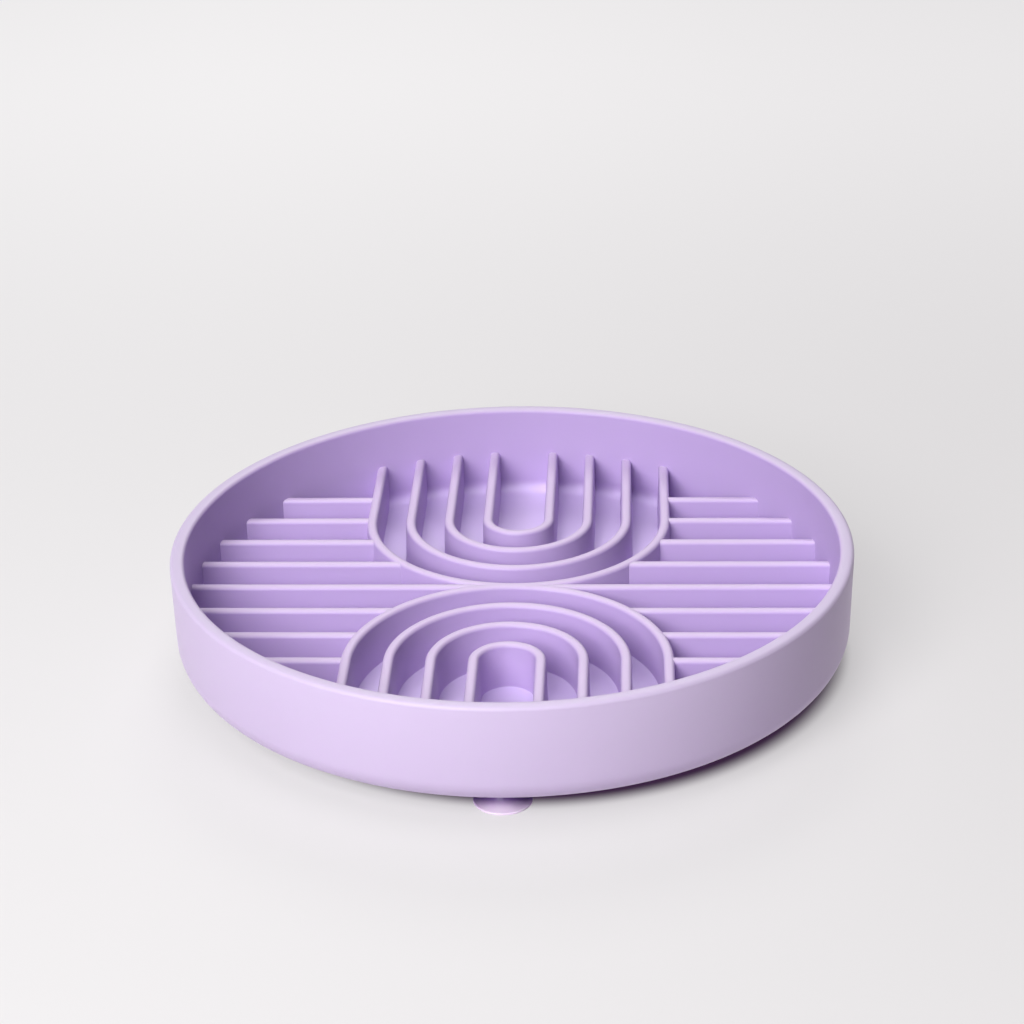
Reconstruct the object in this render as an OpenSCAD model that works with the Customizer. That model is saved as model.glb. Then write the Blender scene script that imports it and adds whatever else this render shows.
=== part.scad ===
// Round silicone lick mat: a shallow tray whose floor carries a maze of
// straight and nested curved ribs, standing on four push-in suction cups.
// Tray and ribs are one moulding, drawn as solids that meet face to face.
// Millimetres, +Z up, origin on the supporting surface under the tray's centre.

/* [Tray] */
// Overall diameter over the rim
tray_d = 200; // [180:1:260]
// Height of the tray alone, from its underside to the top of the rim
tray_h = 31; // [28:0.2:40]
// Thickness of the wall
wall_t = 4.2; // [3.4:0.1:6]
// Radius along both edges of the flat rim
rim_edge = 1.2; // [0.6:0.1:1.6]
// Angle by which the wall leans outwards, in degrees
wall_lean = 1.3; // [0.5:0.1:4]
// Thickness of the floor
floor_t = 2.8; // [2.4:0.1:4]
// Radius of the round edge between wall and underside
foot_round = 8; // [5:0.5:10]
// Radius of the fillet between floor and wall
floor_fillet = 4; // [2:0.5:6]

/* [Ribs] */
// Height of the ribs above the floor
rib_h = 13.4; // [8:0.2:16]
// Width of a rib at its top
rib_w = 2.5; // [2.1:0.1:3.2]
// Draft of a rib's sides, in degrees
rib_draft = 1.2; // [0.5:0.1:3]
// Radius along the top edges of a rib
rib_edge = 0.9; // [0.5:0.05:0.95]
// Distance between straight ribs
rib_pitch = 15.1; // [12:0.5:20]
// Shortest straight rib that is worth moulding
rib_shortest = 20; // [10:1:40]
// Height by which the straight ribs stop short of the looped ones
rib_step = 0.3; // [0.1:0.1:1]

/* [Looped ribs] */
// Number of nested loops at the back, and again at the front
loop_count = 4; // [2:1:5]
// Centreline radius of the innermost loop
loop_r = 9.5; // [7:0.5:12]
// Distance between nested loops
loop_pitch = 12; // [9:0.5:13]
// Distance by which each outermost loop is set back from the middle line
loop_set_back = 0.2; // [0.1:0.05:0.5]

/* [Suction cups] */
// Distance of a cup's centre in from the outside of the rim
cup_inset = 16; // [15:0.5:30]
// Diameter of a cup's lip
cup_d = 16.4; // [14:0.2:18]
// Height of a cup from its lip to the shoulder under the socket
cup_h = 3.6; // [3.2:0.1:5]
// Thickness of the skirt at its lip
lip_t = 0.6; // [0.5:0.1:1]
// Width of the flat ring at the lip
lip_w = 0.8; // [0.6:0.1:1.2]
// Diameter of the flat shoulder
shoulder_d = 7.6; // [6.6:0.2:9]
// Thickness of the cup's crown
crown_t = 1.8; // [1.4:0.1:2.2]
// Diameter of the plug that pushes into the socket
plug_d = 4.4; // [3.6:0.2:5]
// Length of the plug above the shoulder
plug_l = 4.4; // [3.4:0.2:4.6]

/* [Sockets] */
// Outer diameter of a socket boss under the tray
boss_d = 9.6; // [8.6:0.2:12]
// Height of a socket boss
boss_h = 3; // [2.5:0.1:5]
// Radial clearance of the plug in its socket
socket_gap = 0.05; // [0.02:0.01:0.1]
// Clearance above the plug's nose
nose_gap = 0.3; // [0.2:0.05:0.5]

/* [Hidden] */
$fn = 96;
// Overrun that keeps cuts and joins clear of each other's faces
over = 0.5;
// Depth by which a round bites into the faces that it runs out on
bite = 0.02;
// Colours of the moulding and of the thinner cups
LILAC = [0.83, 0.74, 0.93];
PALE_LILAC = [0.86, 0.76, 0.95];

// Heights, from the supporting surface up
base_z = cup_h + boss_h;
floor_z = base_z + floor_t;
rim_z = base_z + tray_h;
edge_z = rim_z - rim_edge;

// Radius at which the leaning wall's outer face (side 1), middle (side 0)
// or inner face (side -1) stands at height z. The outer face reaches the
// overall diameter where the rim's edge starts
function wall_r(side, z) =
    tray_d / 2 - wall_t / 2 - (edge_z - z) * tan(wall_lean)
    + side * wall_t / 2 / cos(wall_lean);

// Direction that runs up the leaning wall, as radius and height
up_wall = [sin(wall_lean), cos(wall_lean)];

// Ribs are drawn half-way into the wall and the floor, and end on their faces
rib_reach = wall_r(0, floor_z + rib_h / 2);
rib_root = floor_t / 2;
loop_last_r = loop_r + (loop_count - 1) * loop_pitch;
loop_y = loop_last_r + loop_set_back;
rib_side_count =
    floor(sqrt(pow(rib_reach, 2) - pow(loop_last_r + rib_shortest, 2)) / rib_pitch);
// Distance from the centre at which the two halves of the middle rib start
middle_start = 2 * rib_w;

// Suction cup and socket
cup_ring_r = tray_d / 2 - cup_inset;
flare_r = (pow(cup_d / 2 - shoulder_d / 2, 2) + pow(cup_h - lip_t, 2)) / (2 * (cup_h - lip_t));
hollow_r = cup_d / 2 - lip_w;
hollow_h = cup_h - crown_t;
hollow_round = (pow(hollow_r, 2) + pow(hollow_h, 2)) / (2 * hollow_h);
// The plug's neck, as shares of its diameter and length, and the round of its nose
neck_d_share = 0.75;
neck_l_share = 0.3;
nose_round_share = 0.18;
neck_l = plug_l * neck_l_share;
nose_round = plug_d * nose_round_share;
socket_r = plug_d / 2 + socket_gap;
socket_depth = plug_l + nose_gap;
// Width of the chamfer that leads into the socket, as a share of its radius
socket_lead_share = 0.2;
socket_lead = socket_r * socket_lead_share;

// Directions in which the cups stand, seen from the centre
FRONT = -90;
RIGHT = 0;
BACK = 90;
LEFT = 180;

// The piece between a corner at p and a circle of radius q that rounds it.
// Taken off an outer corner it leaves a round, and put into an inner corner
// it makes a fillet. u and v point along the two edges, away from p.
module corner_piece(p, u, v, q) {
    inward = (u + v) / norm(u + v);
    half = acos(u * v) / 2;
    c = p + inward * (q - bite) / sin(half);
    foot_u = p + u * ((c - p) * u);
    foot_v = p + v * ((c - p) * v);
    past = 1 + over / q;
    difference() {
        polygon([c, c + (foot_u - c) * past, p - over * inward, c + (foot_v - c) * past]);
        translate(c) circle(r = q);
    }
}

// Section of the fillet between floor and wall, as radius and height
module fillet_section() {
    corner_piece([wall_r(-1, floor_z), floor_z], [-1, 0], up_wall, floor_fillet);
}

// Section of the leaning wall and the floor
module shell_section() {
    underside_corner = [wall_r(1, base_z), base_z];
    outer_corner = [wall_r(1, rim_z), rim_z];
    inner_corner = [wall_r(-1, rim_z), rim_z];
    difference() {
        union() {
            polygon([
                [0, base_z], underside_corner, outer_corner, inner_corner,
                [wall_r(-1, floor_z), floor_z], [0, floor_z]
            ]);
            fillet_section();
        }
        corner_piece(underside_corner, [-1, 0], up_wall, foot_round);
        corner_piece(outer_corner, [-1, 0], -up_wall, rim_edge);
        corner_piece(inner_corner, [1, 0], -up_wall, rim_edge);
    }
}

// The room inside the wall and above the floor, as a wedge of the given angle
module room(angle) {
    rotate_extrude(angle = angle)
        difference() {
            polygon([
                [0, floor_z], [wall_r(-1, floor_z), floor_z],
                [wall_r(-1, edge_z), edge_z], [0, edge_z]
            ]);
            fillet_section();
        }
}

// Section of a rib of height h, drafted, with rounded top edges and a root
// that reaches down into the floor
module rib_section(h) {
    top = rib_w / 2;
    foot = top + (h + rib_root) * tan(rib_draft);
    difference() {
        polygon([[-foot, -rib_root], [foot, -rib_root], [top, h], [-top, h]]);
        for (side = [-1, 1])
            corner_piece([side * top, h], [-side, 0],
                [side * sin(rib_draft), -cos(rib_draft)], rib_edge);
    }
}

// One looped rib: half a ring whose two legs run back to the wall
module loop_rib(r) {
    leg = sqrt(pow(rib_reach, 2) - pow(r, 2)) - loop_y;
    translate([0, loop_y, floor_z]) {
        rotate([0, 0, 180])
            rotate_extrude(angle = 180) translate([r, 0]) rib_section(rib_h);
        for (side = [-1, 1])
            translate([side * r, 0, 0])
                rotate([90, 0, 180]) linear_extrude(leg) rib_section(rib_h);
    }
}

// The nested loops that open towards the back. The outermost ones of the back
// and the front meet on the middle line
module loop_ribs() {
    color(LILAC)
        intersection() {
            for (i = [0 : loop_count - 1]) loop_rib(loop_r + i * loop_pitch);
            room(180);
        }
}

// Where a straight rib at distance y from the middle line starts: in the
// middle of the outermost loop
function rib_start(y) =
    y >= loop_y ? loop_last_r
    : y == 0 ? middle_start
    : sqrt(pow(loop_last_r, 2) - pow(loop_y - y, 2));

// The straight ribs on the right-hand side, from the outermost loops to the wall
module straight_ribs() {
    color(LILAC)
        difference() {
            intersection() {
                for (i = [-rib_side_count : rib_side_count]) {
                    y = abs(i) * rib_pitch;
                    start = rib_start(y);
                    translate([start, i * rib_pitch, floor_z])
                        rotate([90, 0, 90])
                            linear_extrude(sqrt(pow(rib_reach, 2) - pow(y, 2)) - start)
                                rib_section(rib_h - rib_step);
                }
                room(360);
            }
            loop_rib(loop_last_r);
            rotate([0, 0, 180]) loop_rib(loop_last_r);
        }
}

// Puts its children where the cup of one direction stands
module at_cup(direction) {
    translate([cup_ring_r * cos(direction), cup_ring_r * sin(direction), 0])
        children();
}

module boss() {
    translate([0, 0, cup_h]) cylinder(d = boss_d, h = boss_h + floor_t / 2);
}

module socket() {
    translate([0, 0, cup_h - over]) cylinder(r = socket_r, h = over + socket_depth);
    translate([0, 0, cup_h - over])
        cylinder(r1 = socket_r + socket_lead + over, r2 = socket_r, h = socket_lead + over);
}

module tray() {
    color(LILAC)
        difference() {
            union() {
                rotate_extrude() shell_section();
                for (direction = [FRONT, RIGHT, BACK, LEFT]) at_cup(direction) boss();
            }
            for (direction = [FRONT, RIGHT, BACK, LEFT]) at_cup(direction) socket();
        }
}

// Half section of a suction cup: a flared skirt hollow underneath, a flat
// shoulder and a necked plug with a round nose
module cup_section() {
    lip_r = cup_d / 2;
    flare_c = [lip_r, lip_t + flare_r];
    plug_top = cup_h + plug_l;
    difference() {
        polygon([
            [0, 0], [lip_r, 0], [lip_r, lip_t], flare_c,
            [shoulder_d / 2, cup_h], [0, cup_h]
        ]);
        translate(flare_c) circle(r = flare_r);
        translate([0, hollow_h - hollow_round]) circle(r = hollow_round);
    }
    translate([0, cup_h - crown_t / 2])
        square([plug_d / 2 * neck_d_share, crown_t / 2 + neck_l + over]);
    translate([0, cup_h + neck_l]) square([plug_d / 2, plug_l - neck_l - nose_round]);
    translate([0, cup_h + neck_l]) square([plug_d / 2 - nose_round, plug_l - neck_l]);
    translate([plug_d / 2 - nose_round, plug_top - nose_round]) circle(r = nose_round);
}

module suction_cup(direction) {
    color(PALE_LILAC)
        at_cup(direction) rotate_extrude() cup_section();
}

tray();
loop_ribs();  // loop_ribs_back
rotate([0, 0, 180]) loop_ribs();  // loop_ribs_front
straight_ribs();  // straight_ribs_right
rotate([0, 0, 180]) straight_ribs();  // straight_ribs_left
suction_cup(FRONT);  // suction_cup_front
suction_cup(RIGHT);  // suction_cup_right
suction_cup(BACK);  // suction_cup_back
suction_cup(LEFT);  // suction_cup_left
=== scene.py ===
"""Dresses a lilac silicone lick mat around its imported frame, on a pale studio floor."""

import math

import bpy
import numpy as np
from bpy.props import (
    FloatProperty,
    FloatVectorProperty,
    IntProperty,
    PointerProperty,
)
from mathutils import Matrix, Vector


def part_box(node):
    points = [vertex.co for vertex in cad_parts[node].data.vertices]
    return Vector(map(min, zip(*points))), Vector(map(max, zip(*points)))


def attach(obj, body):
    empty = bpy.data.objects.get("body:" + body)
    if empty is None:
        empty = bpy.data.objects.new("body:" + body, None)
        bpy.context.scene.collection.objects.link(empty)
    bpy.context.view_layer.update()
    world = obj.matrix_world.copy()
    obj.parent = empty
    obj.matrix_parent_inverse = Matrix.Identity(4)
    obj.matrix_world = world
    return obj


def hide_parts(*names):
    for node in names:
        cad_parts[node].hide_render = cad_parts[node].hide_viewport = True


bl_info = {
    "name": "Lick Mat",
    "version": (1, 0, 0),
    "blender": (4, 5, 0),
    "location": "3D View > Sidebar > Lick Mat",
    "description": "Builds a silicone lick mat with its rib maze, suction cups and studio",
    "category": "Object",
}

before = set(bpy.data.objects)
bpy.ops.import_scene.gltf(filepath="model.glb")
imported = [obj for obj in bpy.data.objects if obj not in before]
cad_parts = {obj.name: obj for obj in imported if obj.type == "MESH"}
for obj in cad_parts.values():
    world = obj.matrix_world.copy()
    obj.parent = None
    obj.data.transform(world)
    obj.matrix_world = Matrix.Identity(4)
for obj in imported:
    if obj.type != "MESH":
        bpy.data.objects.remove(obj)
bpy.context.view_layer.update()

MOULDING_BODY = "tray"
MOULDING_NODES = (
    "tray",
    "loop_ribs_back",
    "loop_ribs_front",
    "straight_ribs_right",
    "straight_ribs_left",
)
CUP_SIDES = ("front", "right", "back", "left")
MM = 0.001

# Heights and radii that the frame already holds
RIM_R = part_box("tray")[1].x
RIM_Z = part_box("tray")[1].z
SHOULDER_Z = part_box("tray")[0].z
FLOOR_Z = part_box("loop_ribs_back")[0].z
LOOP_TOP_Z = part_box("loop_ribs_back")[1].z
STRAIGHT_TOP_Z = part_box("straight_ribs_right")[1].z
NORMAL_LAYER = "swept_normal"

# The Mix node's colour sockets, which share their names with its number sockets
MIX_A = 6
MIX_B = 7
MIX_RESULT = 2

# Heights of a surface's normal: under STEEP_Z it is a side, over LEVEL_Z it is level, and
# over UPPER_Z it is on the upper side
STEEP_Z = 0.3
LEVEL_Z = 0.95
UPPER_Z = 0.1

# Red and blue light spread further in the silicone than green light does
SPREAD_BY_COLOUR = (1.0, 0.6, 1.0)
NO_LIFT = (0, 0, 0)

# Steps in which curves are drawn
LOOP_STEPS_PER_MM = 2.2
FEWEST_LOOP_STEPS = 24
CROWN_POINTS = 13
CROWN_POINTS_PER_EDGE = 4
BOSS_STEPS = 64


def length(name, description, default_mm):
    """A size in millimetres, kept as a property in metres."""
    return FloatProperty(
        name=name,
        description=description,
        default=default_mm * MM,
        subtype="DISTANCE",
        unit="LENGTH",
        precision=5,
    )


def colour(name, description, default):
    """A linear RGB colour."""
    return FloatVectorProperty(
        name=name,
        description=description,
        default=default,
        subtype="COLOR",
        size=3,
        min=0,
        max=1,
    )


def factor(name, description, default):
    """A share from 0 to 1."""
    return FloatProperty(
        name=name,
        description=description,
        default=default,
        subtype="FACTOR",
        min=0,
        max=1,
    )


class LICKMAT_TrayShape(bpy.types.PropertyGroup):
    """Sizes of the bowl"""

    wall_t: length("Wall thickness", "Thickness of the wall", 4.2)
    rim_edge: length("Rim edge", "Radius along both edges of the rim", 1.2)
    rim_crown: length("Rim crown", "Height by which the rim swells between its edges", 0.2)
    wall_lean: FloatProperty(
        name="Wall lean",
        description="Angle by which the wall leans outwards",
        default=math.radians(1.3),
        subtype="ANGLE",
        unit="ROTATION",
    )
    floor_t: length("Floor thickness", "Thickness of the floor", 2.8)
    foot_round: length("Foot round", "Radius between wall and underside", 8)
    floor_fillet: length("Floor fillet", "Radius between floor and inner wall", 4)
    boss_r: length("Boss radius", "Radius of a socket boss under the floor", 4.8)
    boss_fillet: length("Boss fillet", "Radius at the root of a socket boss", 0.8)
    socket_r: length("Socket radius", "Radius of the blind socket in a boss", 2.25)
    socket_depth: length("Socket depth", "Depth of the blind socket", 4.7)
    socket_lead: length("Socket lead", "Width of the chamfer into the socket", 0.45)
    floor_rings: IntProperty(
        name="Floor rings",
        description="Number of rings of faces across the floor, so that none is a long wedge",
        default=12,
        min=1,
    )
    turns: IntProperty(
        name="Steps round",
        description="Number of steps in which the bowl is turned",
        default=288,
        min=32,
    )


class LICKMAT_RibShape(bpy.types.PropertyGroup):
    """Sizes of the rib maze"""

    rib_w: length("Rib width", "Width of a rib at its top", 3.1)
    rib_draft: FloatProperty(
        name="Rib draft",
        description="Angle by which the sides of a rib lean in",
        default=math.radians(1.2),
        subtype="ANGLE",
        unit="ROTATION",
    )
    rib_edge: length("Rib edge", "Radius along the top edges of a rib", 1.2)
    rib_fillet: length("Rib fillet", "Radius where a rib leaves the floor", 0.4)
    rib_pitch: length("Rib pitch", "Distance between straight ribs", 15.1)
    side_count: IntProperty(
        name="Side ribs",
        description="Number of straight ribs on either side of the middle one",
        default=4,
        min=1,
    )
    loop_count: IntProperty(
        name="Loops", description="Number of nested loops at either end", default=4, min=1
    )
    loop_r: length("Loop radius", "Centreline radius of the innermost loop", 9.5)
    loop_pitch: length("Loop pitch", "Distance between nested loops", 12)
    loop_set_back: length("Loop set-back", "Gap from the middle line to a loop", 0.2)
    root_depth: length("Root depth", "Depth to which ribs are sunk in the floor", 0.3)
    end_depth: length("End depth", "Depth to which ribs are sunk in the wall", 1.1)


class LICKMAT_CupShape(bpy.types.PropertyGroup):
    """Sizes of a suction cup"""

    lip_t: length("Lip thickness", "Thickness of the skirt at its lip", 0.6)
    lip_w: length("Lip width", "Width of the flat ring under the lip", 0.8)
    lip_round: length("Lip round", "Radius along the upper edge of the lip", 0.22)
    shoulder_r: length("Shoulder radius", "Radius of the flat shoulder", 3.8)
    crown_t: length("Crown thickness", "Thickness of the crown over the hollow", 1.8)
    plug_r: length("Plug radius", "Radius of the plug in the socket", 2.2)
    neck_r: length("Neck radius", "Radius of the neck under the plug", 1.65)
    neck_l: length("Neck length", "Length of the neck", 1.32)
    nose_round: length("Nose round", "Radius round the nose of the plug", 0.79)
    turns: IntProperty(
        name="Steps round",
        description="Number of steps in which a cup is turned",
        default=96,
        min=24,
    )


class LICKMAT_Finish(bpy.types.PropertyGroup):
    """Colours and surface of the silicone"""

    # Painted light: the rim, outer wall and underside are painted a paler lilac, as if lit
    lit_shell_colour: colour("Shell colour", "Pale lilac of rim and outer wall", (0.54, 0.455, 0.63))
    # Painted light and shade: rib tops and floor are painted lighter, as if lit, and the sides
    # inside a deeper lilac, as if shaded. Soft random clouds also blend towards that deeper lilac
    lit_top_colour: colour("Top colour", "Lilac of the rib tops", (0.575, 0.46, 0.67))
    lit_floor_colour: colour("Floor colour", "Lilac of the floor between ribs", (0.66, 0.54, 0.82))
    shade_and_cloud_colour: colour("Deep colour", "Fuller lilac of the sides inside", (0.465, 0.345, 0.62))
    lip_colour: colour("Lip colour", "Pale lilac of a cup's thin skirt", (0.88, 0.70, 0.93))
    # Painted shadow: a cup's upper side under the mat's edge is painted dark violet
    cup_shadow_colour: colour("Crown colour", "Violet of a cup under the mat", (0.10, 0.04, 0.20))
    cup_shadow_r: length("Crown radius", "Distance from the middle up to which a cup is violet", 83)
    cup_shadow_fade: length("Crown fade", "Width over which the violet fades", 7)
    cup_shadow_slope: FloatProperty(
        name="Crown slope",
        description="Distance by which the violet moves outwards for each unit of height",
        default=1.55,
    )
    clouding: factor("Clouding", "Share by which soft clouds deepen the lilac", 0.06)
    roughness: factor("Roughness", "Least roughness of the silicone", 0.43)
    fine_roughness: factor("Fine roughness", "Roughness that the grain adds", 0.06)
    wide_roughness: factor("Wide roughness", "Roughness that wider patches add", 0.04)
    cup_roughness: factor("Cup roughness", "Roughness of the smoother cups", 0.36)
    cup_fine_roughness: factor("Cup fine roughness", "Roughness that a cup's grain adds", 0.05)
    specular: factor("Specular", "Strength of the mat's reflections", 0.42)
    softness: factor("Softness", "Share of light that spreads inside the mat", 0.12)
    cup_softness: factor("Cup softness", "Share of light that spreads inside a cup", 0.35)
    spread: length("Spread", "Distance by which light spreads inside the mat", 1.5)
    cup_spread: length("Cup spread", "Distance by which light spreads inside a cup", 2)
    grain: length("Grain", "Size of the fine moulded grain", 0.35)
    grain_depth: length("Grain depth", "Depth of the fine moulded grain", 0.004)
    patch: length("Patch", "Size of the wider patches of roughness", 4.2)
    cloud: length("Cloud", "Size of the soft clouds of colour", 35)


class LICKMAT_Stage(bpy.types.PropertyGroup):
    """Floor, lamps and camera"""

    floor_paint: colour("Floor paint", "Paint that takes light and shadow", (0.29, 0.282, 0.286))
    # Painted light: the floor's glow is lighter on the left, on the lamps' side, than on the right
    glow_left: colour("Glow left", "Tone that the floor adds on the left", (0.525, 0.517, 0.52))
    glow_right: colour("Glow right", "Tone that the floor adds on the right", (0.47, 0.46, 0.465))
    glow_span: length("Glow span", "Width over which the tone changes from left to right", 400)
    glow_far: factor("Glow far", "Share by which the tone of the floor rises far behind", 0.12)
    far_start: length("Far start", "Distance behind the middle at which the rise begins", 100)
    far_end: length("Far end", "Distance behind the middle at which the rise ends", 640)
    haze_start: length("Haze start", "Distance at which the floor begins to turn white", 1000)
    haze_end: length("Haze end", "Distance at which the floor is white", 3000)
    floor_bounce: colour("Floor bounce", "Paint that lights the mat from below", (0.52, 0.46, 0.54))
    # Painted contact shadow: a dark disc on the floor close under the mat, moved to the right and
    # back
    painted_contact_shadow: colour("Floor crease", "Tone close under the mat", (0.035, 0.016, 0.042))
    contact_shadow_r: length("Crease radius", "Radius at which the crease begins to fade", 88.5)
    contact_shadow_width: length("Crease width", "Width over which the crease fades", 7.5)
    contact_shadow_x: length("Crease right", "Distance by which the crease is moved to the right", 5.3)
    contact_shadow_y: length("Crease back", "Distance by which the crease is moved to the back", 6.3)
    floor_size: length("Floor size", "Side of the square floor", 6000)
    fill: factor("Fill", "Strength of the even light from all sides", 0.02)


def settings():
    """The scene's own copy of every size and colour."""
    return bpy.context.scene.lick_mat


class LICKMAT_Settings(bpy.types.PropertyGroup):
    """Everything that a user would change"""

    tray: PointerProperty(type=LICKMAT_TrayShape)
    ribs: PointerProperty(type=LICKMAT_RibShape)
    cup: PointerProperty(type=LICKMAT_CupShape)
    finish: PointerProperty(type=LICKMAT_Finish)
    stage: PointerProperty(type=LICKMAT_Stage)


class Signal:
    """A shader socket with arithmetic: each expression adds its Math nodes."""

    def __init__(self, shader, socket):
        self.shader = shader
        self.socket = socket

    def __add__(self, other):
        return self.shader.math("ADD", self, other)

    def __radd__(self, other):
        return self.shader.math("ADD", other, self)

    def __sub__(self, other):
        return self.shader.math("SUBTRACT", self, other)

    def __rsub__(self, other):
        return self.shader.math("SUBTRACT", other, self)

    def __mul__(self, other):
        return self.shader.math("MULTIPLY", self, other)

    def __rmul__(self, other):
        return self.shader.math("MULTIPLY", other, self)


class Shader:
    """The nodes of a material or a world, added one call at a time."""

    def __init__(self, owner):
        owner.use_nodes = True
        self.owner = owner
        self.tree = owner.node_tree
        output = next(n for n in self.tree.nodes if n.type.startswith("OUTPUT"))
        self.surface = output.inputs["Surface"].links[0].from_node

    def connect(self, socket, value):
        """Links a signal to a socket, or sets the socket to a plain value."""
        if isinstance(value, Signal):
            self.tree.links.new(value.socket, socket)
        else:
            socket.default_value = value

    def add(self, kind, options=None, values=(), output=0):
        """Adds a node. options are set first, and values go to its sockets, by place or by name."""
        node = self.tree.nodes.new(kind)
        for key, option in (options or {}).items():
            setattr(node, key, option)
        pairs = values.items() if isinstance(values, dict) else enumerate(values)
        for key, value in pairs:
            self.connect(node.inputs[key], value)
        return Signal(self, node.outputs[output])

    def math(self, operation, *values):
        """A Math node on one or two numbers or signals."""
        return self.add("ShaderNodeMath", {"operation": operation}, values)

    def noise(self, size, detail=2):
        """Soft noise from 0 to 1 in the object's own space, in patches about size across."""
        place = self.add("ShaderNodeTexCoord", output="Object")
        values = {"Vector": place, "Scale": 1 / size, "Detail": detail}
        return self.add("ShaderNodeTexNoise", None, values, output="Fac")

    def axis(self, space, key):
        """One coordinate of the object's own space, or of its surface normal."""
        return self.add(
            "ShaderNodeSeparateXYZ", None, {0: self.add("ShaderNodeTexCoord", output=space)}, key
        )

    def ramp(self, value, low, high):
        """0 at low, 1 at high and a soft change between them."""
        values = {"Value": value, "From Min": low, "From Max": high}
        return self.add("ShaderNodeMapRange", {"interpolation_type": "SMOOTHSTEP"}, values)

    def out_from(self, x=0, y=0):
        """Distance from an upright line through x and y, in the object's own space."""
        along = self.axis("Object", "X") - x
        across = self.axis("Object", "Y") - y
        return self.math("SQRT", along * along + across * across)

    def seen(self):
        """1 for rays that come from the camera, and 0 for others."""
        return self.add("ShaderNodeLightPath", output="Is Camera Ray")

    def mirrored(self):
        """1 for rays that come off gloss or through glass, and 0 for others."""
        gloss = self.add("ShaderNodeLightPath", output="Is Glossy Ray")
        glass = self.add("ShaderNodeLightPath", output="Is Transmission Ray")
        return self.math("MAXIMUM", gloss, glass)

    def blend(self, share, low, high):
        """A colour between low and high, each a plain colour or a signal."""
        low, high = (c if isinstance(c, Signal) else (*c, 1) for c in (low, high))
        values = {"Factor": share, MIX_A: low, MIX_B: high}
        return self.add("ShaderNodeMix", {"data_type": "RGBA"}, values, output=MIX_RESULT)

    def bump(self, height, depth):
        """A normal from a height between 0 and 1 over a depth in metres."""
        values = {"Strength": 1.0, "Distance": depth, "Height": height}
        return self.add("ShaderNodeBump", None, values)

    def finish(self, **sockets):
        """Sets the surface's sockets, whose names are given with _ for a space."""
        for name, value in sockets.items():
            self.connect(self.surface.inputs[name.replace("_", " ")], value)
        return self.owner


def arc(centre, radius, start, end, steps):
    """Points on an arc between two angles in degrees, both ends included."""
    turns = np.radians(np.linspace(start, end, steps + 1))
    return [
        (centre[0] + radius * math.cos(a), centre[1] + radius * math.sin(a)) for a in turns
    ]


def round_corner(before, corner, after, radius, steps):
    """Points of the arc of a radius that rounds the corner of an outline."""
    p, a, b = (np.array(q, float) for q in (corner, before, after))
    u = (a - p) / np.linalg.norm(a - p)
    v = (b - p) / np.linalg.norm(b - p)
    half = math.acos(float(u @ v)) / 2
    centre = p + (u + v) / np.linalg.norm(u + v) * radius / math.sin(half)
    first = p + u * radius / math.tan(half) - centre
    last = p + v * radius / math.tan(half) - centre
    sweep = math.atan2(first[0] * last[1] - first[1] * last[0], float(first @ last))
    start = math.atan2(first[1], first[0])
    return [
        (centre[0] + radius * math.cos(a), centre[1] + radius * math.sin(a))
        for a in np.linspace(start, start + sweep, steps + 1)
    ]


def outline_normals(points, closed, crease=math.radians(40)):
    """The outward normal at each end of each edge of an outline that runs anticlockwise.
    Edges share a smooth normal where they meet under less than the crease angle."""
    count = len(points)
    edges = count if closed else count - 1
    p = np.array(points, float)
    run = p[(np.arange(edges) + 1) % count] - p[:edges]
    size = np.linalg.norm(run, axis=1)
    flat = np.stack([run[:, 1], -run[:, 0]], 1) / size[:, None]
    ends = np.stack([flat, flat], 1)
    for i in range(edges):
        j = (i + 1) % edges
        if not closed and j == 0:
            continue
        turn = math.acos(max(-1.0, min(1.0, float(flat[i] @ flat[j]))))
        if turn < crease:
            soft = flat[i] * size[j] + flat[j] * size[i]
            soft /= np.linalg.norm(soft)
            ends[i, 1] = ends[j, 0] = soft
    return ends


def swept_object(name, rings, normals):
    """A closed mesh from rings of points. rings[i][k] is point k of ring i, and
    normals[i][k] holds the two normals at the ends of edge k of that ring."""
    rings = np.array(rings, float)
    steps, count = rings.shape[:2]
    verts = rings.reshape(-1, 3)
    faces = []
    corners = []
    for i in range(steps - 1):
        here, there = i * count, (i + 1) * count
        for k in range(count):
            m = (k + 1) % count
            faces.append((here + k, here + m, there + m, there + k))
            corners += [*normals[i, k], *normals[i + 1, k, ::-1]]
    first = tuple(range(count))[::-1]
    last = tuple((steps - 1) * count + k for k in range(count))
    for face in (first, last):
        faces.append(face)
        a, b, c = (verts[face[k]] for k in (0, count // 3, 2 * count // 3))
        flat = np.cross(b - a, c - a)
        corners += [flat / np.linalg.norm(flat)] * count
    return mesh_object(name, verts, faces, corners)


def mesh_object(name, verts, faces, corners):
    """A mesh object that carries the normals of its face corners as a layer."""
    mesh = bpy.data.meshes.new(name)
    mesh.from_pydata([tuple(v) for v in verts], [], faces)
    layer = mesh.attributes.new(NORMAL_LAYER, "FLOAT_VECTOR", "CORNER")
    layer.data.foreach_set("vector", np.array(corners, np.float32).ravel())
    obj = bpy.data.objects.new(name, mesh)
    bpy.context.scene.collection.objects.link(obj)
    return obj


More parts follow.
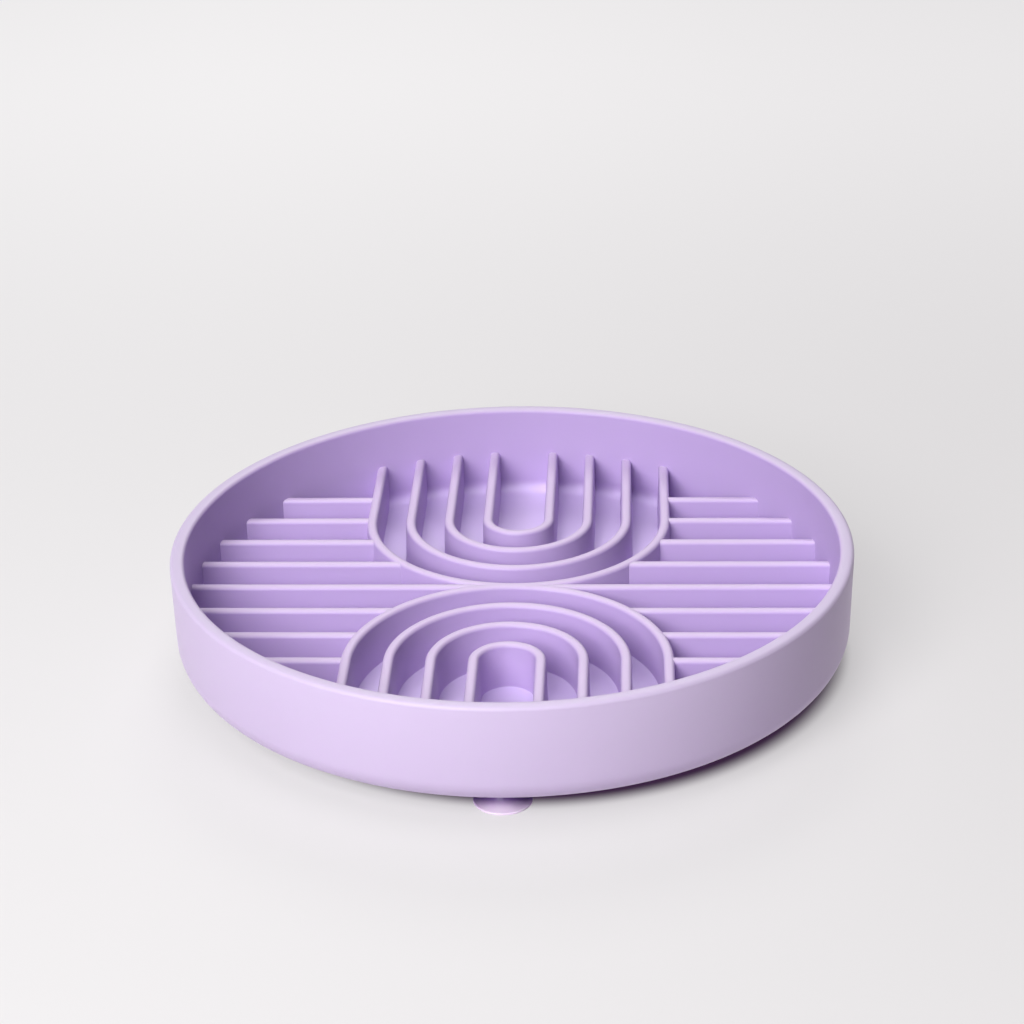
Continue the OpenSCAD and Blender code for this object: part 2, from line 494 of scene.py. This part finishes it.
def turned(name, outline, steps, at=(0, 0, 0)):
    """A solid turned about a vertical axis. The outline is (radius, height) points,
    anticlockwise from the axis at the bottom to the axis at the top."""
    inner = outline[1:-1]
    ends = outline_normals(outline, closed=False)
    angles = np.arange(steps) * (2 * math.pi / steps)
    way = np.stack([np.cos(angles), np.sin(angles), np.zeros(steps)], 1)
    up = np.array([0, 0, 1.0])
    verts = [np.array([0, 0, outline[0][1]]), np.array([0, 0, outline[-1][1]])]
    for w in way:
        verts += [w * r + up * z for r, z in inner]
    count = len(inner)
    faces = []
    corners = []

    def spun(i, pair):
        return way[i % steps] * pair[0] + up * pair[1]

    def at_ring(i, k):
        return 2 + (i % steps) * count + k

    for i in range(steps):
        faces.append((0, at_ring(i + 1, 0), at_ring(i, 0)))
        corners += [-up, spun(i + 1, ends[0, 1]), spun(i, ends[0, 1])]
        faces.append((1, at_ring(i, count - 1), at_ring(i + 1, count - 1)))
        corners += [up, spun(i, ends[-1, 0]), spun(i + 1, ends[-1, 0])]
        for k in range(count - 1):
            a, b = ends[k + 1]
            low, high = at_ring(i, k), at_ring(i + 1, k)
            faces.append((low, high, high + 1, low + 1))
            corners += [spun(i, a), spun(i + 1, a), spun(i + 1, b), spun(i, b)]
    verts = np.array(verts) + np.array(at)
    return mesh_object(name, verts, faces, corners)


def swept_rib(name, stations, section, first_end, last_end):
    """A rib swept through stations of (point, side direction). first_end and last_end are
    functions that move each point of an end along the rib, onto what the rib meets."""
    ends = outline_normals(section, closed=True)
    rings = []
    normals = []
    up = np.array([0, 0, 1.0])
    for point, side in stations:
        point = np.array([point[0], point[1], 0.0])
        side = np.array([side[0], side[1], 0.0])
        rings.append([point + side * w + up * z for w, z in section])
        normals.append([[side * a[0] + up * a[1], side * b[0] + up * b[1]] for a, b in ends])
    rings[0] = [first_end(p) for p in rings[0]]
    rings[-1] = [last_end(p) for p in rings[-1]]
    return swept_object(name, rings, np.array(normals))


def rib_section(ribs, top_z):
    """Outline of a rib, as (offset, height): a sunken root, a fillet at the floor,
    drafted sides and rounded top edges."""
    height = top_z - FLOOR_Z
    top = ribs.rib_w / 2
    lean = math.tan(ribs.rib_draft)
    foot = top + height * lean
    root = (foot + ribs.rib_fillet * 1.5, FLOOR_Z - ribs.root_depth / 6)
    deep = (root[0], FLOOR_Z - ribs.root_depth)
    corner_low = (foot + ribs.root_depth / 6 * lean, root[1])
    corner_top = (top, top_z)
    fillet = round_corner(root, corner_low, corner_top, ribs.rib_fillet, 5)
    edge = round_corner(corner_low, corner_top, (-top, top_z), ribs.rib_edge, 8)
    right = [deep, root, *fillet, *edge]
    return right + [(-w, z) for w, z in reversed(right)]


def onto_circle(radius, axis):
    """Moves a point along X or Y until it lies on a circle round the centre."""
    other = 1 - axis

    def move(p):
        q = p.copy()
        q[axis] = math.copysign(math.sqrt(radius**2 - p[other] ** 2), p[axis])
        return q

    return move


def loop_rib(ribs, name, radius, sign, reach):
    """One looped rib, from the wall round its bend and back to the wall."""
    loop_y = last_loop_r(ribs) + ribs.loop_set_back
    section = rib_section(ribs, LOOP_TOP_Z)
    steps = max(FEWEST_LOOP_STEPS, int(radius / MM * LOOP_STEPS_PER_MM))
    stations = [((radius, reach * 0.8), (1, 0))]
    for a in np.linspace(0, math.pi, steps + 1):
        side = (math.cos(a), -math.sin(a))
        stations.append(((radius * side[0], loop_y + radius * side[1]), side))
    stations.append(((-radius, reach * 0.8), (-1, 0)))
    turned_about = [((x * sign, y * sign), (u * sign, v * sign)) for (x, y), (u, v) in stations]
    end = onto_circle(reach, axis=1)
    return swept_rib(name, turned_about, section, first_end=end, last_end=end)


def last_loop_r(ribs):
    """Centreline radius of the outermost loop."""
    return ribs.loop_r + (ribs.loop_count - 1) * ribs.loop_pitch


def straight_rib(ribs, name, row, sign, reach):
    """One straight rib, from the middle of the outermost loop to the wall."""
    last_r = last_loop_r(ribs)
    loop_y = last_r + ribs.loop_set_back
    y = row * ribs.rib_pitch

    def into_loop(p):
        q = p.copy()
        beside = max(0.0, loop_y - abs(p[1]))
        q[0] = sign * math.sqrt(max(0.0, last_r**2 - beside**2))
        return q

    stations = [((sign * last_r, y), (0, sign)), ((sign * reach * 0.9, y), (0, sign))]
    stations = [(p, (0, -s[1])) for p, s in stations]
    return swept_rib(
        name,
        stations,
        rib_section(ribs, STRAIGHT_TOP_Z),
        first_end=into_loop,
        last_end=onto_circle(reach, axis=0),
    )


def middle_rib(ribs, name, reach):
    """The straight rib on the middle line, from wall to wall."""
    end = onto_circle(reach, axis=0)
    stations = [((-reach * 0.9, 0), (0, -1)), ((reach * 0.9, 0), (0, -1))]
    return swept_rib(name, stations, rib_section(ribs, STRAIGHT_TOP_Z), first_end=end, last_end=end)


def wall_r(tray, side, z):
    """Radius of the wall's outer face (side 1), middle (0) or inner face (-1) at a height."""
    half = tray.wall_t / 2
    middle = RIM_R - half - (RIM_Z - tray.rim_edge - z) * math.tan(tray.wall_lean)
    return middle + side * half / math.cos(tray.wall_lean)


def bowl_outline(tray):
    """Outline of floor and wall, from the centre of the underside to that of the floor."""
    base_z = FLOOR_Z - tray.floor_t
    under = (wall_r(tray, 1, base_z), base_z)
    inside = (wall_r(tray, -1, FLOOR_Z), FLOOR_Z)
    outer_r = wall_r(tray, 1, RIM_Z)
    crown = [
        (outer_r - share * tray.wall_t, RIM_Z - tray.rim_crown * (2 * share - 1) ** 2)
        for share in np.linspace(0, 1, CROWN_POINTS)
    ]
    top = crown[CROWN_POINTS_PER_EDGE:-CROWN_POINTS_PER_EDGE]
    flat_r = under[0] - tray.foot_round * 1.5
    rings = tray.floor_rings
    return [
        (0, base_z),
        (flat_r, base_z),
        *round_corner((0, base_z), under, crown[0], tray.foot_round, 18),
        *round_corner(under, crown[0], top[0], tray.rim_edge, 9),
        *top,
        *round_corner(top[-1], crown[-1], inside, tray.rim_edge, 9),
        *round_corner(crown[-1], inside, (0, FLOOR_Z), tray.floor_fillet, 12),
        *((flat_r * step / rings, FLOOR_Z) for step in range(rings, -1, -1)),
    ]


def boss_outline(tray):
    """Outline of a socket boss, with a fillet where it leaves the underside."""
    base_z = FLOOR_Z - tray.floor_t
    root_z = base_z + tray.floor_t / 6
    edge = tray.boss_fillet / 3
    return [
        (0, SHOULDER_Z),
        *round_corner((0, SHOULDER_Z), (tray.boss_r, SHOULDER_Z), (tray.boss_r, root_z), edge, 4),
        *round_corner(
            (tray.boss_r, SHOULDER_Z),
            (tray.boss_r, base_z + edge / 9),
            (tray.boss_r * 2, base_z + edge / 9),
            tray.boss_fillet,
            6,
        ),
        (tray.boss_r + tray.boss_fillet * 1.5, base_z + edge / 9),
        (tray.boss_r + tray.boss_fillet * 1.5, root_z),
        (0, root_z),
    ]


def socket_outline(tray):
    """Outline of the blind hole that a plug pushes into."""
    low = SHOULDER_Z - tray.socket_lead
    top = SHOULDER_Z + tray.socket_depth
    return [
        (0, low),
        (tray.socket_r + 2 * tray.socket_lead, low),
        (tray.socket_r, SHOULDER_Z + tray.socket_lead),
        (tray.socket_r, top),
        (0, top),
    ]


def cut_or_join(target, tool, operation):
    """Joins a tool to the target, or cuts it out, and removes the tool."""
    step = target.modifiers.new(operation, "BOOLEAN")
    step.operation = operation
    step.solver = "MANIFOLD"
    step.object = tool
    graph = bpy.context.evaluated_depsgraph_get()
    made = bpy.data.meshes.new_from_object(target.evaluated_get(graph))
    target.modifiers.clear()
    spent = [target.data, tool.data]
    target.data = made
    bpy.data.objects.remove(tool)
    for mesh in spent:
        bpy.data.meshes.remove(mesh)


def shade_by_layer(obj):
    """Takes the corner normals from the layer that the sweeps left, and drops the layer."""
    mesh = obj.data
    layer = mesh.attributes[NORMAL_LAYER]
    normals = np.empty(len(mesh.loops) * 3, np.float32)
    layer.data.foreach_get("vector", normals)
    normals = normals.reshape(-1, 3)
    flat = np.empty(len(mesh.polygons) * 3, np.float32)
    mesh.polygons.foreach_get("normal", flat)
    sizes = np.empty(len(mesh.polygons), np.int32)
    mesh.polygons.foreach_get("loop_total", sizes)
    flat = np.repeat(flat.reshape(-1, 3), sizes, axis=0)
    facing = np.sign((normals * flat).sum(1, keepdims=True))
    normals *= np.where(facing == 0, 1, facing)
    strength = np.linalg.norm(normals, axis=1, keepdims=True)
    normals = np.where(strength < 0.5, flat, normals / np.maximum(strength, 1e-9))
    mesh.attributes.remove(layer)
    mesh.polygons.foreach_set("use_smooth", [True] * len(mesh.polygons))
    mesh.normals_split_custom_set([tuple(n) for n in normals])


def cup_centre(side):
    """Where the cup of one side stands."""
    low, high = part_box(f"suction_cup_{side}")
    return (low.x + high.x) / 2, (low.y + high.y) / 2


def tray_silicone():
    """Matt lilac silicone with a fine moulded grain. Light and shade are painted into its colour:
    the shell is painted palest, as if lit, and the sides of the ribs and the bowl a fuller lilac
    than rib tops and floor, as if shaded."""
    finish = settings().finish
    tray = settings().tray
    paint = Shader(bpy.data.materials.new("tray_silicone"))
    cloud = paint.noise(finish.cloud, detail=3)
    fine = paint.noise(finish.grain)
    wide = paint.noise(finish.patch)
    inner_r = RIM_R - tray.wall_t
    shell = paint.ramp(paint.out_from(), inner_r, inner_r + tray.rim_edge)
    z = paint.axis("Object", "Z")
    under = paint.ramp(z, FLOOR_Z, FLOOR_Z - tray.floor_t / 2)
    high = paint.ramp(z, FLOOR_Z + tray.floor_fillet / 2, FLOOR_Z + tray.floor_fillet)
    # Painted light and shade: level faces take the lighter top and floor colours, steep faces the
    # deeper side colour
    level = paint.ramp(paint.axis("Normal", "Z"), STEEP_Z, LEVEL_Z)
    lit_ground = paint.blend(high, finish.lit_floor_colour, finish.lit_top_colour)
    inside = paint.blend(level, finish.shade_and_cloud_colour, lit_ground)
    # Painted light: the rim, outer wall and underside take the pale shell colour, as if lit
    lilac = paint.blend(paint.math("MAXIMUM", shell, under), inside, finish.lit_shell_colour)
    return paint.finish(
        Base_Color=paint.blend(finish.clouding * cloud, lilac, finish.shade_and_cloud_colour),
        Roughness=finish.roughness + finish.fine_roughness * fine + finish.wide_roughness * wide,
        Normal=paint.bump(fine, finish.grain_depth),
        Specular_IOR_Level=finish.specular,
        Subsurface_Weight=finish.softness,
        Subsurface_Radius=SPREAD_BY_COLOUR,
        Subsurface_Scale=finish.spread,
    )


def cup_silicone():
    """Smoother, slightly see-through silicone of the thin cups. Its upper side where that lies
    under the mat is painted dark violet, a painted shadow of the mat's edge."""
    finish = settings().finish
    paint = Shader(bpy.data.materials.new("cup_silicone"))
    fine = paint.noise(finish.grain)
    z = paint.axis("Object", "Z")
    # Painted shadow: the skirt's upward faces are painted dark violet inward of a slanting line,
    # where the mat's edge shades them
    shadow_line = paint.out_from() - finish.cup_shadow_slope * z
    under = paint.ramp(shadow_line, finish.cup_shadow_r + finish.cup_shadow_fade, finish.cup_shadow_r)
    upper = paint.ramp(paint.axis("Normal", "Z"), 0, UPPER_Z)
    skirt = paint.ramp(z, SHOULDER_Z + MM, SHOULDER_Z)
    return paint.finish(
        Base_Color=paint.blend(under * (upper * skirt), finish.lip_colour, finish.cup_shadow_colour),
        Roughness=finish.cup_roughness + finish.cup_fine_roughness * fine,
        Normal=paint.bump(fine, finish.grain_depth / 3),
        Subsurface_Weight=finish.cup_softness,
        Subsurface_Radius=SPREAD_BY_COLOUR,
        Subsurface_Scale=finish.cup_spread,
    )


def studio_floor():
    """Smooth pale paper. Camera and reflections see it with a glow of its own, so that it
    stays pale while it throws little light back on the mat."""
    stage = settings().stage
    paint = Shader(bpy.data.materials.new("studio_floor"))
    seen = paint.seen()
    half = stage.glow_span / 2
    # Painted light: the glow fades from the lamps' side on the left to the right
    across = paint.ramp(paint.axis("Object", "X"), -half, half)
    behind = paint.ramp(paint.axis("Object", "Y"), stage.far_start, stage.far_end)
    haze = paint.ramp(paint.out_from(), stage.haze_start, stage.haze_end)
    # Painted contact shadow: the floor is painted dark inside a disc under the mat, in both its
    # paint and its glow
    out = paint.out_from(stage.contact_shadow_x, stage.contact_shadow_y)
    unshadowed_floor = paint.ramp(out, stage.contact_shadow_r, stage.contact_shadow_r + stage.contact_shadow_width)

    def lifted(amounts):
        """The tones on the left and on the right, each raised by the same amounts."""
        sides = (stage.glow_left, stage.glow_right)
        return paint.blend(across, *([g + a for g, a in zip(side, amounts)] for side in sides))

    glow = paint.blend(behind, lifted(NO_LIFT), lifted([stage.glow_far] * 3))
    glow = paint.blend(haze, glow, (1, 1, 1))
    return paint.finish(
        Base_Color=paint.blend(
            seen, stage.floor_bounce, paint.blend(unshadowed_floor, stage.painted_contact_shadow, stage.floor_paint)
        ),
        Roughness=0.9,
        Specular_IOR_Level=0.0,
        Emission_Color=paint.blend(
            seen,
            paint.blend(paint.mirrored(), (0, 0, 0), lifted(stage.floor_paint)),
            paint.blend(unshadowed_floor, stage.painted_contact_shadow, glow),
        ),
        Emission_Strength=1.0,
    )


def studio_world():
    """White surroundings for camera and reflections, and a faint light for the rest."""
    sky = Shader(bpy.data.worlds.new("studio"))
    white = sky.math("MAXIMUM", sky.seen(), sky.mirrored())
    faint = settings().stage.fill
    return sky.finish(Color=(1, 1, 1, 1), Strength=faint + (1 - faint) * white)


class LICKMAT_OT_moulding(bpy.types.Operator):
    """Builds the bowl with its ribs and socket bosses as one moulding"""

    bl_idname = "lickmat.moulding"
    bl_label = "Moulding"

    def execute(self, context):
        tray = settings().tray
        ribs = settings().ribs
        body = turned("lick_mat_moulding", bowl_outline(tray), tray.turns)
        reach = wall_r(tray, -1, FLOOR_Z) + ribs.end_depth
        for sign in (1, -1):
            for i in range(ribs.loop_count):
                rib = loop_rib(ribs, "loop", ribs.loop_r + i * ribs.loop_pitch, sign, reach)
                cut_or_join(body, rib, "UNION")
            for row in range(-ribs.side_count, ribs.side_count + 1):
                if row:
                    cut_or_join(body, straight_rib(ribs, "rib", row, sign, reach), "UNION")
        cut_or_join(body, middle_rib(ribs, "rib", reach), "UNION")
        for side in CUP_SIDES:
            x, y = cup_centre(side)
            boss = turned("boss", boss_outline(tray), BOSS_STEPS, at=(x, y, 0))
            cut_or_join(body, boss, "UNION")
            socket = turned("socket", socket_outline(tray), BOSS_STEPS, at=(x, y, 0))
            cut_or_join(body, socket, "DIFFERENCE")
        shade_by_layer(body)
        body.data.materials.clear()
        body.data.materials.append(tray_silicone())
        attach(body, MOULDING_BODY)
        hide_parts(*MOULDING_NODES)
        return {"FINISHED"}


def cup_outline(cup, lip_r):
    """Outline of a suction cup: hollow crown, lip, flared skirt, shoulder and plug."""
    hollow_r = lip_r - cup.lip_w
    hollow_h = SHOULDER_Z - cup.crown_t
    hollow_round = (hollow_r**2 + hollow_h**2) / (2 * hollow_h)
    hollow_turn = math.degrees(math.asin(hollow_r / hollow_round))
    rise = SHOULDER_Z - cup.lip_t
    flare_r = ((lip_r - cup.shoulder_r) ** 2 + rise**2) / (2 * rise)
    flare_turn = math.degrees(math.asin((lip_r - cup.shoulder_r) / flare_r))
    flare = arc((lip_r, cup.lip_t + flare_r), flare_r, 270, 270 - flare_turn, 14)
    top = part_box("suction_cup_front")[1].z
    neck_top = SHOULDER_Z + cup.neck_l
    return [
        *reversed(arc((0, hollow_h - hollow_round), hollow_round, 90 - hollow_turn, 90, 12)),
        *round_corner((hollow_r, 0), (lip_r, 0), (lip_r, cup.lip_t), cup.lip_round / 2, 3),
        *round_corner((lip_r, 0), (lip_r, cup.lip_t), flare[1], cup.lip_round, 4),
        *flare[1:],
        (cup.neck_r, SHOULDER_Z),
        (cup.neck_r, neck_top),
        (cup.plug_r, neck_top),
        *arc((cup.plug_r - cup.nose_round, top - cup.nose_round), cup.nose_round, 0, 90, 6),
        (0, top),
    ]


class LICKMAT_OT_suction_cups(bpy.types.Operator):
    """Builds the four suction cups that push into the sockets"""

    bl_idname = "lickmat.suction_cups"
    bl_label = "Suction Cups"

    def execute(self, context):
        cup = settings().cup
        silicone = cup_silicone()
        low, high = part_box("suction_cup_front")
        outline = cup_outline(cup, (high.x - low.x) / 2)
        for side in CUP_SIDES:
            piece = turned(f"cup_{side}", outline, cup.turns, at=(*cup_centre(side), 0))
            shade_by_layer(piece)
            piece.data.materials.append(silicone)
            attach(piece, f"cup_{side}")
            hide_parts(f"suction_cup_{side}")
        return {"FINISHED"}


def add_camera():
    """The photograph's viewpoint, from a fit of the object's edges."""
    place = Vector((33.84, -715.85, 388.14)) * MM
    yaw, pitch, roll = (math.radians(a) for a in (-1.974, -25.528, -0.933))
    focal = 2.6514
    aim = Vector(
        (math.sin(yaw) * math.cos(pitch), math.cos(yaw) * math.cos(pitch), math.sin(pitch))
    )
    level = Vector((math.cos(yaw), -math.sin(yaw), 0))
    above = level.cross(aim)
    right = math.cos(roll) * level + math.sin(roll) * above
    up = math.cos(roll) * above - math.sin(roll) * level
    lens = bpy.data.cameras.new("camera")
    lens.sensor_width = 36
    lens.lens = focal * lens.sensor_width
    lens.shift_x = -0.0301
    lens.shift_y = 0.0014
    lens.clip_start = 0.01
    camera = bpy.data.objects.new("camera", lens)
    bpy.context.scene.collection.objects.link(camera)
    turn = Matrix((right, up, -aim)).transposed().to_4x4()
    camera.matrix_world = Matrix.Translation(place) @ turn
    bpy.context.scene.camera = camera


def add_softbox(name, azimuth, elevation, distance, size, strength):
    """A square lamp that faces the mat. Azimuth 0 is in front and 90 on the right."""
    a, e = math.radians(azimuth), math.radians(elevation)
    way = Vector((math.sin(a) * math.cos(e), -math.cos(a) * math.cos(e), math.sin(e)))
    lamp = bpy.data.lights.new(name, "AREA")
    lamp.size = size
    lamp.energy = strength
    box = bpy.data.objects.new(name, lamp)
    box.location = way * distance
    box.rotation_euler = way.to_track_quat("Z", "Y").to_euler()
    bpy.context.scene.collection.objects.link(box)


class LICKMAT_OT_stage(bpy.types.Operator):
    """Adds the floor, the lamps and the camera"""

    bl_idname = "lickmat.stage"
    bl_label = "Stage"

    def execute(self, context):
        stage = settings().stage
        half = stage.floor_size / 2
        mesh = bpy.data.meshes.new("studio_floor")
        corners = [(-half, -half, 0), (half, -half, 0), (half, half, 0), (-half, half, 0)]
        mesh.from_pydata(corners, [], [(0, 1, 2, 3)])
        floor = bpy.data.objects.new("studio_floor", mesh)
        context.scene.collection.objects.link(floor)
        mesh.materials.append(studio_floor())
        context.scene.world = studio_world()
        add_softbox("key", -24, 38, 1.3, 0.8, 18.5)
        add_softbox("low", -26, 20, 1.3, 0.45, 3.5)
        add_softbox("back", 180, 45, 1.3, 0.5, 5)
        add_softbox("top", 0, 85, 1.3, 0.6, 3.6)
        add_camera()
        context.scene.view_settings.view_transform = "Standard"
        return {"FINISHED"}


class LICKMAT_PT_panel(bpy.types.Panel):
    """Lists the pieces and their sizes"""

    bl_idname = "LICKMAT_PT_panel"
    bl_label = "Lick Mat"
    bl_space_type = "VIEW_3D"
    bl_region_type = "UI"
    bl_category = "Lick Mat"

    def draw(self, context):
        for operator in (LICKMAT_OT_moulding, LICKMAT_OT_suction_cups, LICKMAT_OT_stage):
            self.layout.operator(operator.bl_idname)
        for group in ("tray", "ribs", "cup", "finish", "stage"):
            box = self.layout.box()
            box.label(text=group.capitalize())
            values = getattr(context.scene.lick_mat, group)
            for key in values.bl_rna.properties.keys():
                if key not in ("rna_type", "name"):
                    box.prop(values, key)


CLASSES = (
    LICKMAT_TrayShape,
    LICKMAT_RibShape,
    LICKMAT_CupShape,
    LICKMAT_Finish,
    LICKMAT_Stage,
    LICKMAT_Settings,
    LICKMAT_OT_moulding,
    LICKMAT_OT_suction_cups,
    LICKMAT_OT_stage,
    LICKMAT_PT_panel,
)


def register():
    for cls in CLASSES:
        bpy.utils.register_class(cls)
    bpy.types.Scene.lick_mat = PointerProperty(type=LICKMAT_Settings)


def unregister():
    del bpy.types.Scene.lick_mat
    for cls in reversed(CLASSES):
        bpy.utils.unregister_class(cls)


def main():
    """Builds every piece."""
    register()
    bpy.ops.lickmat.moulding()
    bpy.ops.lickmat.suction_cups()
    bpy.ops.lickmat.stage()


if __name__ == "__main__":
    main()
